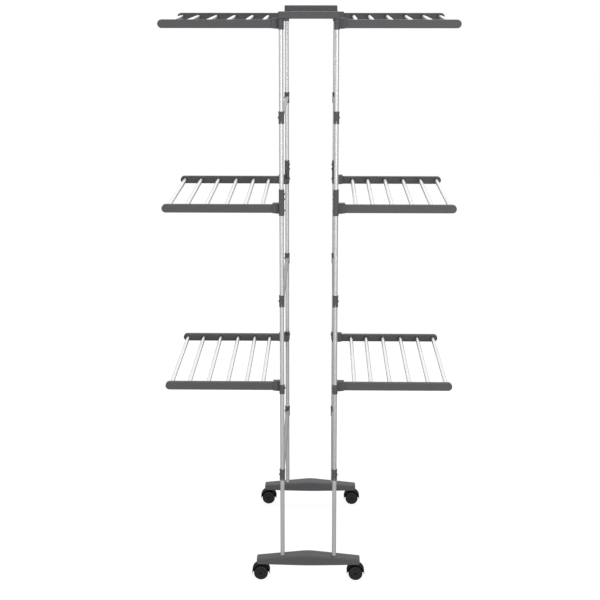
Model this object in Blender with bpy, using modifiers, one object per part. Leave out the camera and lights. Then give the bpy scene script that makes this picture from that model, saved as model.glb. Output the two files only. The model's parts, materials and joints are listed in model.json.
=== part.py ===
# Rolling clothes drying rack: two post frames on castors that carry six folding wings in three tiers.
# Metres. X runs across the wings, Y from the front frame to the rear frame, Z up from the floor.
# The rack stands on its origin, and it mirrors left to right and front to rear.

import math

import bmesh
import bpy
from mathutils import Matrix, Vector

# Driving dimensions

# The whole rack
RACK_HEIGHT = 1.710
POST_OUT = 0.0785          # post axis from the middle of the rack, along X
POST_BACK = 0.300          # post axis from the middle of the rack, along Y
SEAT_GAP = 0.0003          # clearance between pieces that touch
RUN_GAP = 0.0004           # clearance beside a piece that turns
OVERRUN = 0.002            # how far a cut runs past the face it opens
WELD = 0.00001             # merge distance for the seams of one piece

# Steel tube of the posts and the stretchers
TUBE_DIAMETER = 0.0127
TUBE_WALL = 0.0008
TUBE_SIDES = 12

# Moulded sleeves on the posts
SLEEVE_WALL = 0.00165      # round the tube
SLEEVE_BELOW = 0.0098      # coupler and low sleeve below their wing pivots
COUPLER_ABOVE = 0.0669     # coupler above its wing pivot
COUPLER_STOP = 0.002       # wall inside the coupler that the two post tubes meet
LOW_SLEEVE_ABOVE = 0.019

# Wing tiers, as heights of the rails' centre lines
TOP_RAIL_DROP = 0.0352     # below the top of the rack
MIDDLE_RAIL = 1.146
LOW_RAIL = 0.6075

# Wing rails
WING_REACH = 0.429         # rail tip from the middle of the rack
RAIL_HEIGHT = 0.024
RAIL_DEPTH = 0.015
RAIL_INSET = 0.028         # rail centre inboard of the post axis
RAIL_EDGE = 0.0015         # chamfer round the rail's outer face
RAIL_HEEL = 0.0077         # rail behind its pivot
TIP_STEPS = 6
HEEL_STEPS = 2
PIVOT_OUT = 0.0075         # wing pivot outboard of the sleeve's face
PIVOT_DROP = 0.006         # wing pivot below the rail's centre line

# Hanging rods
ROD_DIAMETER = 0.012
ROD_INSET = 0.0162         # outermost rod's axis in from the rail's tip
ROD_SIDES = 8
ROD_ROOT = 0.002           # rod inside the rail that carries it
POCKET_DEPTH = 0.009       # rod inside the rail at its other end
ROD_SHARES = (1.0, 0.872, 0.734, 0.591, 0.454, 0.333)   # of the outermost rod's place

# Wing hinges
CHEEK_WALL = 0.0035
LIP_THICKNESS = 0.004
LIP_REACH = 0.012          # lip outboard of the pivot
LIP_BACK = 0.0095          # lip inboard of the pivot
LIP_SIDE = 0.0015          # lip over each cheek, whose top is level with the rail's
HEEL_GAP = 0.0006
HINGE_FLOOR = 0.0075       # hinge body below the pivot
HINGE_SHOULDER = 0.008     # hinge body above the pivot, beside the post
HINGE_HALF_WIDTH = 0.006   # hinge body each side of the post axis, along X
CHEEK_TOE = 0.006          # cheek's lower corner below the pivot, at its open end
CHEEK_CORNER = 0.0025
CORNER_STEPS = 2
TRUNNION_DIAMETER = 0.006  # stub on each face of a rail, which turns in the cheek
TRUNNION_RISE = 0.0026     # stub proud of the rail's face
TRUNNION_SIDES = 8

# Stretcher connectors
CONNECTOR_DROPS = (-0.003, 0.001, 0.008)   # below the middle of the space between two tiers
CONNECTOR_LENGTH = 0.035
CONNECTOR_REACH = 0.022    # mouth of the stretcher's socket from the post axis
SOCKET_WALL = 0.0013       # between the post's bore and the stretcher's socket

# Top bridges
BRIDGE_OVERHANG = 0.00045  # bar beyond the tube's face
BRIDGE_HEIGHT = 0.020
BRIDGE_DEPTH = 0.022
BRIDGE_EDGE = 0.003
BRIDGE_LEG_BOTTOM = 0.050  # below the top of the rack
BRIDGE_ROOF = 0.006        # solid over the post's end
GROOVE_LENGTH = 0.110
GROOVE_HEIGHT = 0.003
GROOVE_CUT = 0.0012

# Base beams
BEAM_HALF_LENGTH = 0.1573
BEAM_DEPTH = 0.045         # at the middle
BEAM_END_DEPTH = 0.036
BEAM_BOTTOM = 0.0507       # underside at the middle
BEAM_END_BOTTOM = 0.0522
BEAM_TOP = 0.082           # ridge at the middle
BEAM_END_TOP = 0.0687
BEAM_RIDGE = 0.020         # half length of the rounded ridge
RIDGE_STEPS = 2            # facets each side of the middle
BELLY_STEPS = 2
BEAM_EDGE = 0.004
BEAM_WALL = 0.0025
BEAM_RIB_BOTTOM = 0.058
BEAM_RIB_PLACE = 0.107
BOSS_WALL = 0.002
POST_BOSS_BOTTOM = 0.053
POST_BOSS_FLOOR = 0.003

# Castors
CASTOR_INSET = 0.0207      # swivel axis in from the end of the beam
CASTOR_TRAIL = 0.008       # wheel axle outboard of the swivel axis
WHEEL_RADIUS = 0.022
WHEEL_WIDTH = 0.012
WHEEL_SIDES = 16
WHEEL_DISH_RADIUS = 0.0165
WHEEL_DISH = 0.002
WHEEL_TREAD_EDGE = 0.002
HOOD_RADIUS = 0.027
HOOD_WALL = 0.002
HOOD_STEPS = 8
WEB_WIDTH = 0.011          # middle wall of the hood, between the wheels
WEB_START = 9              # degrees above level where the middle wall meets the rim
AXLE_LOBE_STEPS = 4
AXLE_DIAMETER = 0.005
AXLE_LOBE = 0.006
AXLE_SIDES = 8
STEM_DIAMETER = 0.008
STEM_SIDES = 10
STEM_TOP = 0.068
NECK_RADIUS = 0.007
NECK_TOP = 0.0508
CASTOR_BOSS_BOTTOM = 0.0516
CASTOR_BOSS_RADIUS = 0.0085

# Places worked out from the sizes above
TUBE_RADIUS = TUBE_DIAMETER / 2
TUBE_BORE = TUBE_RADIUS + SEAT_GAP
SLEEVE_RADIUS = TUBE_RADIUS + SLEEVE_WALL
RAIL_Y = POST_BACK - RAIL_INSET
RAIL_INNER = RAIL_Y - RAIL_DEPTH / 2
PIVOT_X = POST_OUT + SLEEVE_RADIUS + PIVOT_OUT
TOP_RAIL = RACK_HEIGHT - TOP_RAIL_DROP
TOP_PIVOT = TOP_RAIL - PIVOT_DROP
MIDDLE_PIVOT = MIDDLE_RAIL - PIVOT_DROP
LOW_PIVOT = LOW_RAIL - PIVOT_DROP
RAIL_TOP = RAIL_HEIGHT / 2 + PIVOT_DROP          # above the pivot
RAIL_BOTTOM = PIVOT_DROP - RAIL_HEIGHT / 2       # above the pivot, so less than zero
TIP_CENTRE = WING_REACH - RAIL_HEIGHT / 2
CHANNEL_HALF = RAIL_DEPTH / 2 + RUN_GAP
COUPLER_MIDDLE = MIDDLE_PIVOT + (COUPLER_ABOVE - SLEEVE_BELOW) / 2
TIER_SPACES = ((MIDDLE_RAIL, TOP_RAIL), (LOW_RAIL, MIDDLE_RAIL), (BEAM_TOP, LOW_RAIL))
CONNECTOR_HEIGHTS = [sum(space) / 2 - down for space, down in zip(TIER_SPACES, CONNECTOR_DROPS)]
CASTOR_OUT = BEAM_HALF_LENGTH - CASTOR_INSET
BEAM_TAPER = (BEAM_DEPTH - BEAM_END_DEPTH) / (2 * BEAM_HALF_LENGTH)
BRIDGE_BOTTOM = RACK_HEIGHT - BRIDGE_HEIGHT
BRIDGE_HALF = POST_OUT + TUBE_RADIUS + BRIDGE_OVERHANG
AXLE_HEIGHT = WHEEL_RADIUS * math.cos(math.pi / WHEEL_SIDES)   # a flat of the wheel lies on the floor
WHEEL_INNER = WEB_WIDTH / 2 + RUN_GAP
WHEEL_OUTER = WHEEL_INNER + WHEEL_WIDTH
CORNERS = ((-1, -1), (1, -1), (-1, 1), (1, 1))
SIDE_NAMES = {-1: "left", 1: "right"}
END_NAMES = {-1: "front", 1: "rear"}


for old in list(bpy.data.objects):
    bpy.data.objects.remove(old, do_unlink=True)

parts = bpy.data.collections.new("rolling_drying_rack")
cutters = bpy.data.collections.new("rack_cutters")
bpy.context.scene.collection.children.link(parts)
bpy.context.scene.collection.children.link(cutters)


# Materials

def make_material(name, colour, roughness, metallic):
    material = bpy.data.materials.new(name)
    material.use_nodes = True
    shader = material.node_tree.nodes["Principled BSDF"]
    shader.inputs["Base Color"].default_value = (*colour, 1.0)
    shader.inputs["Roughness"].default_value = roughness
    shader.inputs["Metallic"].default_value = metallic
    material.diffuse_color = (*colour, 1.0)
    return material


grey_plastic = make_material("grey_plastic", (0.105, 0.105, 0.112), 0.5, 0.0)
satin_steel = make_material("satin_steel", (0.60, 0.60, 0.60), 0.35, 1.0)
bright_steel = make_material("bright_steel", (0.82, 0.82, 0.82), 0.2, 1.0)
black_plastic = make_material("black_plastic", (0.02, 0.02, 0.021), 0.45, 0.0)


# Modelling helpers

def add_guide(name, mesh):
    # A working solid: it is drawn as wire and is not part of the rack
    guide = bpy.data.objects.new(name, mesh)
    guide.hide_render = True
    guide.display_type = "WIRE"
    cutters.objects.link(guide)
    return guide


def drop(guide):
    bpy.data.objects.remove(guide, do_unlink=True)


def bake(guide):
    # The evaluated mesh of a curve or of an object with modifiers, in world space and welded
    graph = bpy.context.evaluated_depsgraph_get()
    graph.update()
    mesh = bpy.data.meshes.new_from_object(guide.evaluated_get(graph))
    mesh.transform(guide.matrix_world)
    shape = bmesh.new()
    shape.from_mesh(mesh)
    bmesh.ops.remove_doubles(shape, verts=shape.verts, dist=WELD)
    bmesh.ops.recalc_face_normals(shape, faces=shape.faces)
    shape.to_mesh(mesh)
    shape.free()
    name = guide.name
    drop(guide)
    return add_guide(name, mesh)


def turned(name, profile, sides, turn=Matrix.Identity(4)):
    # Profile points are (radius, height), down the outer side and back up the inner side
    shape = bmesh.new()
    points = [shape.verts.new((radius, 0, height)) for radius, height in profile]
    for first, second in zip(points, points[1:] + points[:1]):
        if first.co.x > 0 or second.co.x > 0:
            shape.edges.new((first, second))
    mesh = bpy.data.meshes.new(name)
    shape.to_mesh(mesh)
    shape.free()
    guide = add_guide(name, mesh)
    screw = guide.modifiers.new("turn", "SCREW")
    screw.steps = sides
    screw.render_steps = sides
    screw.use_merge_vertices = True
    screw.merge_threshold = WELD
    guide.matrix_world = turn
    bpy.context.view_layer.update()
    return bake(guide)


def cylinder(name, radius, low, high, sides, turn=Matrix.Identity(4)):
    # A plain solid cylinder from low to high along its own axis
    shape = bmesh.new()
    middle = Matrix.Translation((0, 0, (low + high) / 2))
    bmesh.ops.create_cone(shape, cap_ends=True, segments=sides, radius1=radius, radius2=radius,
                          depth=high - low, matrix=turn @ middle)
    mesh = bpy.data.meshes.new(name)
    shape.to_mesh(mesh)
    shape.free()
    return add_guide(name, mesh)


def block(name, low, high):
    # A box between two corners
    low = Vector(low)
    high = Vector(high)
    shape = bmesh.new()
    place = Matrix.Translation((low + high) / 2) @ Matrix.Diagonal((*(high - low), 1.0))
    bmesh.ops.create_cube(shape, size=1.0, matrix=place)
    mesh = bpy.data.meshes.new(name)
    shape.to_mesh(mesh)
    shape.free()
    return add_guide(name, mesh)


def sheet(name, outline, near, far):
    # A flat outline of (x, z) points, standing from y = near to y = far
    curve = bpy.data.curves.new(name, "CURVE")
    curve.dimensions = "2D"
    curve.fill_mode = "BOTH"
    curve.extrude = (far - near) / 2
    spline = curve.splines.new("POLY")
    spline.points.add(len(outline) - 1)
    for point, (across, up) in zip(spline.points, outline):
        point.co = (across, up, 0, 1)
    spline.use_cyclic_u = True
    guide = bpy.data.objects.new(name, curve)
    guide.hide_render = True
    guide.display_type = "WIRE"
    cutters.objects.link(guide)
    stand = Matrix.Rotation(math.radians(90), 4, "X")
    guide.matrix_world = Matrix.Translation((0, (near + far) / 2, 0)) @ stand
    bpy.context.view_layer.update()
    return bake(guide)


def combine(base, others, operation):
    # Joins the others to the base, or cuts them out of it
    for other in others:
        step = base.modifiers.new(operation.lower(), "BOOLEAN")
        step.operation = operation
        step.solver = "EXACT"
        step.material_mode = "TRANSFER" if other.data.materials else "INDEX"
        step.object = other
    bpy.context.view_layer.update()
    result = bake(base)
    for other in others:
        drop(other)
    return result


def join(base, *others):
    return combine(base, others, "UNION")


def cut(base, *others):
    return combine(base, others, "DIFFERENCE")


def chamfer_edges(guide, width, steps, chosen):
    # Bevels the edges for which chosen(first, second) is true
    shape = bmesh.new()
    shape.from_mesh(guide.data)
    edges = [edge for edge in shape.edges if chosen(edge.verts[0].co, edge.verts[1].co)]
    bmesh.ops.bevel(shape, geom=edges, offset=width, segments=steps, profile=0.5, affect="EDGES",
                    clamp_overlap=True)
    shape.to_mesh(guide.data)
    shape.free()
    return guide


def mirrored(mesh, side, end):
    # A copy of a mesh for another corner of the rack, with its faces kept pointing out
    copy = mesh.copy()
    copy.transform(Matrix.Diagonal((side, end, 1, 1)))
    if side * end < 0:
        copy.flip_normals()
    return copy


def add_part(name, mesh, material, place=(0, 0, 0), parent=None):
    if mesh.name not in finished:
        if not mesh.materials:
            mesh.materials.append(material)
        mesh.shade_smooth()
        mesh.set_sharp_from_angle(angle=math.radians(35))
        finished.add(mesh.name)
    part = bpy.data.objects.new(name, mesh)
    part.location = place
    part.parent = parent
    parts.objects.link(part)
    return part


def add_axis(name, place, parent=None):
    # An empty on a joint's axis, which carries the pieces that turn about it
    axis = bpy.data.objects.new(name, None)
    axis.empty_display_size = 2 * SLEEVE_RADIUS
    axis.location = place
    axis.parent = parent
    parts.objects.link(axis)
    return axis


def arc(centre, radius, start, stop, steps):
    # Points of an arc as (x, z), angles in degrees
    points = []
    for step in range(steps + 1):
        angle = math.radians(start + (stop - start) * step / steps)
        points.append((centre[0] + radius * math.cos(angle), centre[1] + radius * math.sin(angle)))
    return points


def tube(name, diameter, wall, low, high, sides, turn=Matrix.Identity(4)):
    outer = diameter / 2
    inner = outer - wall
    return turned(name, [(outer, high), (outer, low), (inner, low), (inner, high)], sides, turn)


finished = set()
ALONG_Y = Matrix.Rotation(math.radians(-90), 4, "X")   # turns +Z to +Y


def at(across, back=0, up=0):
    return Matrix.Translation((across, back, up))


# Wing rails and rods, placed from the middle of the wing's pivot axis

def rail_outline():
    # Rounded tip, flat top and bottom, and a heel that turns close to the pivot
    tip = arc((TIP_CENTRE - PIVOT_X, PIVOT_DROP), RAIL_HEIGHT / 2, -90, 90, TIP_STEPS)
    crown_stop = math.degrees(math.acos(-RAIL_HEEL / RAIL_TOP))
    crown = arc((0, 0), RAIL_TOP, 90, crown_stop, HEEL_STEPS)
    heel_stop = 180 + math.degrees(math.asin(-RAIL_BOTTOM / RAIL_HEEL))
    heel = arc((0, 0), RAIL_HEEL, 180, heel_stop, HEEL_STEPS)
    return tip + crown + heel


def make_rail():
    inner = RAIL_INNER
    outer = RAIL_INNER + RAIL_DEPTH
    rail = sheet("rail", rail_outline(), inner, outer)
    rim = outer - SEAT_GAP
    rail = chamfer_edges(rail, RAIL_EDGE, 1, lambda a, b: a.y > rim and b.y > rim)
    trunnion = cylinder("trunnion", TRUNNION_DIAMETER / 2, inner - TRUNNION_RISE, outer + TRUNNION_RISE,
                        TRUNNION_SIDES, ALONG_Y)
    rail = join(rail, trunnion)
    rail.data.materials.append(grey_plastic)
    return rail


def rod_places():
    outermost = WING_REACH - ROD_INSET
    return [at(outermost * share - PIVOT_X, 0, PIVOT_DROP) @ ALONG_Y for share in ROD_SHARES]


def make_pocket_rail():
    # The rail that the rods' free ends sit in
    radius = ROD_DIAMETER / 2 + SEAT_GAP
    pockets = []
    for place in rod_places():
        low = RAIL_INNER - OVERRUN
        pockets.append(cylinder("pocket", radius, low, RAIL_INNER + POCKET_DEPTH, ROD_SIDES, place))
    return cut(make_rail(), *pockets)


def make_rod_rail():
    # The rail with its rods, which run across to the pockets of the other rail
    free_end = RAIL_INNER + POCKET_DEPTH - SEAT_GAP
    rods = []
    for place in rod_places():
        rod = cylinder("rod", ROD_DIAMETER / 2, -free_end, RAIL_INNER + ROD_ROOT, ROD_SIDES, place)
        rod.data.materials.append(bright_steel)
        rods.append(rod)
    return join(make_rail(), *rods)


# Wing hinges, placed on the rear right post with the pivot at height zero

def make_hinge():
    # Cheeks and lip round the rail's root, and the body that ties them to the post
    back = POST_OUT - HINGE_HALF_WIDTH
    lip_in = PIVOT_X - LIP_BACK
    lip_out = PIVOT_X + LIP_REACH
    lip_top = RAIL_TOP + SEAT_GAP + LIP_THICKNESS
    round_in = CHEEK_CORNER
    outline = [(back, -HINGE_FLOOR), (PIVOT_X, -HINGE_FLOOR), (lip_out, -CHEEK_TOE)]
    outline += arc((lip_out - round_in, lip_top - round_in), round_in, 0, 90, CORNER_STEPS)
    outline += arc((lip_in + round_in, lip_top - round_in), round_in, 90, 180, CORNER_STEPS)
    outline += [(lip_in, HINGE_SHOULDER), (back, HINGE_SHOULDER)]
    half = CHANNEL_HALF + CHEEK_WALL
    hinge = sheet("hinge", outline, RAIL_Y - half, RAIL_Y + half)
    inset = SEAT_GAP
    arm = block("arm", (back + inset, RAIL_Y, inset - HINGE_FLOOR),
                (lip_in - inset, POST_BACK - TUBE_RADIUS + TUBE_WALL, HINGE_SHOULDER - inset))
    channel_back = PIVOT_X - RAIL_HEEL - HEEL_GAP
    channel = block("channel", (channel_back, RAIL_Y - CHANNEL_HALF, -HINGE_FLOOR - OVERRUN),
                    (lip_out + OVERRUN, RAIL_Y + CHANNEL_HALF, RAIL_TOP + SEAT_GAP))
    ear = RAIL_DEPTH / 2 + TRUNNION_RISE + SEAT_GAP
    ears = cylinder("ears", TRUNNION_DIAMETER / 2 + SEAT_GAP, RAIL_Y - ear, RAIL_Y + ear, TRUNNION_SIDES,
                    at(PIVOT_X) @ ALONG_Y)
    lip_half = CHANNEL_HALF + LIP_SIDE
    ledges = [block("ledge", (lip_in - OVERRUN, RAIL_Y + near, RAIL_TOP),
                    (lip_out + OVERRUN, RAIL_Y + far, lip_top + OVERRUN))
              for near, far in ((-half - OVERRUN, -lip_half), (lip_half, half + OVERRUN))]
    hinge = join(hinge, arm)
    return cut(hinge, channel, ears, *ledges)


def make_coupler():
    # Joins two post tubes end to end, with a stop between them, and carries a wing hinge
    post = at(POST_OUT, POST_BACK)
    sleeve = cylinder("sleeve", SLEEVE_RADIUS, -SLEEVE_BELOW, COUPLER_ABOVE, TUBE_SIDES, post)
    coupler = join(sleeve, make_hinge())
    middle = (COUPLER_ABOVE - SLEEVE_BELOW) / 2
    stop = COUPLER_STOP / 2
    below = cylinder("below", TUBE_BORE, -SLEEVE_BELOW - OVERRUN, middle - stop, TUBE_SIDES, post)
    above = cylinder("above", TUBE_BORE, middle + stop, COUPLER_ABOVE + OVERRUN, TUBE_SIDES, post)
    return cut(coupler, below, above)


def make_low_sleeve():
    # Clamped on the lower post, with its wing hinge
    post = at(POST_OUT, POST_BACK)
    sleeve = cylinder("sleeve", SLEEVE_RADIUS, -SLEEVE_BELOW, LOW_SLEEVE_ABOVE, TUBE_SIDES, post)
    body = join(sleeve, make_hinge())
    bore = cylinder("bore", TUBE_BORE, -SLEEVE_BELOW - OVERRUN, LOW_SLEEVE_ABOVE + OVERRUN,
                    TUBE_SIDES, post)
    return cut(body, bore)


# Top bridge over the two rear posts, at its real height

def make_bridge():
    half_depth = BRIDGE_DEPTH / 2
    bar = block("bar", (-BRIDGE_HALF, POST_BACK - half_depth, BRIDGE_BOTTOM),
                (BRIDGE_HALF, POST_BACK + half_depth, RACK_HEIGHT))
    bar = chamfer_edges(bar, BRIDGE_EDGE, 2, lambda a, b: True)
    inner = POST_BACK - half_depth
    middle = BRIDGE_BOTTOM + BRIDGE_HEIGHT / 2
    groove = block("groove", (-GROOVE_LENGTH / 2, inner - OVERRUN, middle - GROOVE_HEIGHT / 2),
                   (GROOVE_LENGTH / 2, inner + GROOVE_CUT, middle + GROOVE_HEIGHT / 2))
    leg_bottom = RACK_HEIGHT - BRIDGE_LEG_BOTTOM
    leg_top = BRIDGE_BOTTOM + BRIDGE_EDGE
    bore_top = RACK_HEIGHT - BRIDGE_ROOF
    joined = []
    bores = [groove]
    for side in (-1, 1):
        post = at(side * POST_OUT, POST_BACK)
        joined.append(cylinder("leg", SLEEVE_RADIUS, leg_bottom, leg_top, TUBE_SIDES, post))
        hinge = make_hinge()
        lifted = mirrored(hinge.data, side, 1)
        lifted.transform(at(0, 0, TOP_PIVOT))
        drop(hinge)
        joined.append(add_guide("hinge", lifted))
        bores.append(cylinder("bore", TUBE_BORE, leg_bottom - OVERRUN, bore_top, TUBE_SIDES, post))
    return cut(join(bar, *joined), *bores)


# Stretcher connector on the rear right post, with its middle at height zero

def make_connector():
    post = at(POST_OUT, POST_BACK)
    half = CONNECTOR_LENGTH / 2
    sleeve = cylinder("sleeve", SLEEVE_RADIUS, -half, half, TUBE_SIDES, post)
    mouth = POST_BACK - CONNECTOR_REACH
    socket_end = POST_BACK - TUBE_BORE - SOCKET_WALL
    boss = cylinder("boss", SLEEVE_RADIUS - SEAT_GAP, mouth, POST_BACK, TUBE_SIDES, at(POST_OUT) @ ALONG_Y)
    body = join(sleeve, boss)
    bore = cylinder("bore", TUBE_BORE, -half - OVERRUN, half + OVERRUN, TUBE_SIDES, post)
    socket = cylinder("socket", TUBE_BORE, mouth - OVERRUN, socket_end, TUBE_SIDES, at(POST_OUT) @ ALONG_Y)
    return cut(body, bore, socket)


# Base beam, at its real height and centred on its own middle

def beam_outline(inset, bottom=None):
    # Sloping roof with a rounded ridge, drawn in by inset, down to the arched underside or to bottom
    half = BEAM_HALF_LENGTH - inset
    fall = (BEAM_TOP - BEAM_END_TOP) / (BEAM_HALF_LENGTH - BEAM_RIDGE / 2)
    shoulder = BEAM_END_TOP - inset
    points = []
    for step in range(-RIDGE_STEPS, RIDGE_STEPS + 1):
        across = BEAM_RIDGE * step / RIDGE_STEPS
        sag = fall * (across * across / BEAM_RIDGE + BEAM_RIDGE) / 2
        points.append((-across, BEAM_TOP - inset + fall * BEAM_RIDGE / 2 - sag))
    points.append((-half, shoulder))
    if bottom is None:
        for step in range(-BELLY_STEPS, BELLY_STEPS + 1):
            share = step / BELLY_STEPS
            points.append((half * share, BEAM_BOTTOM + (BEAM_END_BOTTOM - BEAM_BOTTOM) * share * share))
    else:
        points += [(-half, bottom), (half, bottom)]
    points.append((half, shoulder))
    return points


def roof_height(across):
    fall = (BEAM_TOP - BEAM_END_TOP) / (BEAM_HALF_LENGTH - BEAM_RIDGE / 2)
    return BEAM_END_TOP + fall * (BEAM_HALF_LENGTH - abs(across))


def beam_side(across):
    # Outside of the beam from its own middle, along Y
    return BEAM_DEPTH / 2 - BEAM_TAPER * abs(across)


def taper_sides(guide):
    # Draws both sides in towards the ends. What runs across the middle is split there first
    shape = bmesh.new()
    shape.from_mesh(guide.data)
    whole = shape.verts[:] + shape.edges[:] + shape.faces[:]
    bmesh.ops.bisect_plane(shape, geom=whole, plane_co=(0, 0, 0), plane_no=(1, 0, 0))
    for point in shape.verts:
        point.co.y -= math.copysign(BEAM_TAPER * abs(point.co.x), point.co.y)
    shape.to_mesh(guide.data)
    shape.free()
    return guide


def make_beam():
    half_depth = BEAM_DEPTH / 2
    beam = sheet("beam", beam_outline(0), -half_depth, half_depth)
    rim = half_depth - SEAT_GAP
    floor = BEAM_END_BOTTOM + SEAT_GAP

    def on_the_rim(a, b):
        return abs(a.y) > rim and a.y * b.y > 0 and max(a.z, b.z) > floor

    beam = taper_sides(chamfer_edges(beam, BEAM_EDGE, 2, on_the_rim))
    hollow_depth = half_depth - BEAM_WALL
    cavity = sheet("cavity", beam_outline(BEAM_WALL, BEAM_BOTTOM - OVERRUN), -hollow_depth, hollow_depth)
    beam = cut(beam, taper_sides(cavity))
    into = BEAM_WALL / 2
    rib_half = BEAM_WALL / 2
    inside = [sheet("long_rib", beam_outline(into, BEAM_RIB_BOTTOM), -rib_half, rib_half)]
    for place in (-BEAM_RIB_PLACE, 0, BEAM_RIB_PLACE):
        top = roof_height(abs(place) + BEAM_RIDGE / 2) - into
        side = beam_side(place) - into
        inside.append(block("rib", (place - rib_half, -side, BEAM_RIB_BOTTOM),
                            (place + rib_half, side, top)))
    post_top = roof_height(POST_OUT) - into
    castor_top = roof_height(CASTOR_OUT) - into
    bores = []
    for side in (-1, 1):
        post = at(side * POST_OUT)
        castor = at(side * CASTOR_OUT)
        inside.append(cylinder("post_boss", TUBE_BORE + BOSS_WALL, POST_BOSS_BOTTOM, post_top,
                               TUBE_SIDES, post))
        inside.append(cylinder("castor_boss", CASTOR_BOSS_RADIUS, CASTOR_BOSS_BOTTOM, castor_top,
                               TUBE_SIDES, castor))
        bores.append(cylinder("post_bore", TUBE_BORE, POST_BOSS_BOTTOM + POST_BOSS_FLOOR, RACK_HEIGHT,
                              TUBE_SIDES, post))
        bores.append(cylinder("stem_bore", STEM_DIAMETER / 2 + SEAT_GAP, BEAM_BOTTOM - OVERRUN,
                              STEM_TOP + SEAT_GAP, STEM_SIDES, castor))
    return cut(join(beam, *inside), *bores)


# Castor, placed from its swivel axis at floor height, trailing towards +X

def make_hood():
    # A rim over both wheels, a middle wall that holds the axle, and a neck for the stem
    axle = (CASTOR_TRAIL, AXLE_HEIGHT)
    outer = arc(axle, HOOD_RADIUS, 0, 180, HOOD_STEPS)
    inner = arc(axle, HOOD_RADIUS - HOOD_WALL, 180, 0, HOOD_STEPS)
    rim = sheet("rim", outer + inner, -WHEEL_OUTER, WHEEL_OUTER)
    wall_half = WEB_WIDTH / 2
    wall_radius = HOOD_RADIUS - HOOD_WALL / 2
    wall_outline = arc(axle, wall_radius, WEB_START, 180 - WEB_START, HOOD_STEPS)
    wall_outline += arc(axle, AXLE_LOBE, 180, 360, AXLE_LOBE_STEPS)
    wall = sheet("wall", wall_outline, -wall_half, wall_half)
    neck_bottom = AXLE_HEIGHT + WHEEL_RADIUS + RUN_GAP
    neck = cylinder("neck", NECK_RADIUS, neck_bottom, NECK_TOP, STEM_SIDES)
    stem = cylinder("stem", STEM_DIAMETER / 2, neck_bottom + HOOD_WALL, STEM_TOP, STEM_SIDES)
    stem.data.materials.append(bright_steel)
    bore_half = wall_half + OVERRUN
    axle_bore = cylinder("axle_bore", AXLE_DIAMETER / 2 + SEAT_GAP, -bore_half, bore_half, AXLE_SIDES,
                         at(CASTOR_TRAIL, 0, AXLE_HEIGHT) @ ALONG_Y)
    rim.data.materials.append(black_plastic)
    return cut(join(rim, wall, neck, stem), axle_bore)


def make_wheels():
    # Two dished wheels on their axle, with a flat of each on the floor
    axle = AXLE_DIAMETER / 2
    tread = WHEEL_RADIUS - WHEEL_TREAD_EDGE
    face = WHEEL_OUTER - WHEEL_DISH
    half = [(0, face), (WHEEL_DISH_RADIUS, face), (tread, WHEEL_OUTER),
            (WHEEL_RADIUS, WHEEL_OUTER - WHEEL_TREAD_EDGE), (WHEEL_RADIUS, WHEEL_INNER), (axle, WHEEL_INNER)]
    profile = half + [(radius, -along) for radius, along in reversed(half)]
    flat_down = Matrix.Rotation(math.radians(90 + 180 / WHEEL_SIDES), 4, "Z")
    return turned("wheels", profile, WHEEL_SIDES, ALONG_Y @ flat_down)


# Assembly

beam = make_beam()
for end in (-1, 1):
    add_part(END_NAMES[end] + "_base_beam", beam.data, grey_plastic, (0, end * POST_BACK, 0))

post_foot = POST_BOSS_BOTTOM + POST_BOSS_FLOOR + SEAT_GAP
stop_gap = COUPLER_STOP / 2 + SEAT_GAP
lower_post = tube("lower_post", TUBE_DIAMETER, TUBE_WALL, post_foot, COUPLER_MIDDLE - stop_gap, TUBE_SIDES)
upper_post = tube("upper_post", TUBE_DIAMETER, TUBE_WALL, COUPLER_MIDDLE + stop_gap,
                  RACK_HEIGHT - BRIDGE_ROOF - SEAT_GAP, TUBE_SIDES)
coupler = make_coupler()
low_sleeve = make_low_sleeve()
bridge = make_bridge()
for end in (-1, 1):
    add_part(END_NAMES[end] + "_top_bridge", mirrored(bridge.data, 1, end), grey_plastic)
for side, end in CORNERS:
    corner = END_NAMES[end] + "_" + SIDE_NAMES[side]
    foot = (side * POST_OUT, end * POST_BACK, 0)
    add_part("lower_post_" + corner, lower_post.data, satin_steel, foot)
    add_part("upper_post_" + corner, upper_post.data, satin_steel, foot)
    add_part("post_coupler_" + corner, mirrored(coupler.data, side, end), grey_plastic, (0, 0, MIDDLE_PIVOT))
    add_part("low_hinge_sleeve_" + corner, mirrored(low_sleeve.data, side, end), grey_plastic,
             (0, 0, LOW_PIVOT))

connector = make_connector()
stretcher_half = POST_BACK - TUBE_BORE - SOCKET_WALL - SEAT_GAP
stretcher = tube("stretcher", TUBE_DIAMETER, TUBE_WALL, -stretcher_half, stretcher_half, TUBE_SIDES, ALONG_Y)
connectors = {corner: mirrored(connector.data, *corner) for corner in CORNERS}
for level, height in zip(("upper", "middle", "lower"), CONNECTOR_HEIGHTS):
    for side in (-1, 1):
        name = level + "_stretcher_" + SIDE_NAMES[side]
        add_part(name, stretcher.data, satin_steel, (side * POST_OUT, 0, height))
    for side, end in CORNERS:
        name = level + "_connector_" + END_NAMES[end] + "_" + SIDE_NAMES[side]
        add_part(name, connectors[side, end], grey_plastic, (0, 0, height))

rod_rail = make_rod_rail()
pocket_rail = make_pocket_rail()
rod_rails = {side: mirrored(rod_rail.data, side, -1) for side in (-1, 1)}
pocket_rails = {side: mirrored(pocket_rail.data, side, 1) for side in (-1, 1)}
for tier, pivot in (("top", TOP_PIVOT), ("middle", MIDDLE_PIVOT), ("low", LOW_PIVOT)):
    for side in (-1, 1):
        wing = tier + "_" + SIDE_NAMES[side] + "_wing"
        axis = add_axis(wing + "_axis", (side * PIVOT_X, 0, pivot))
        add_part(wing + "_front_rail_with_rods", rod_rails[side], grey_plastic, parent=axis)
        add_part(wing + "_rear_rail", pocket_rails[side], grey_plastic, parent=axis)

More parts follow.
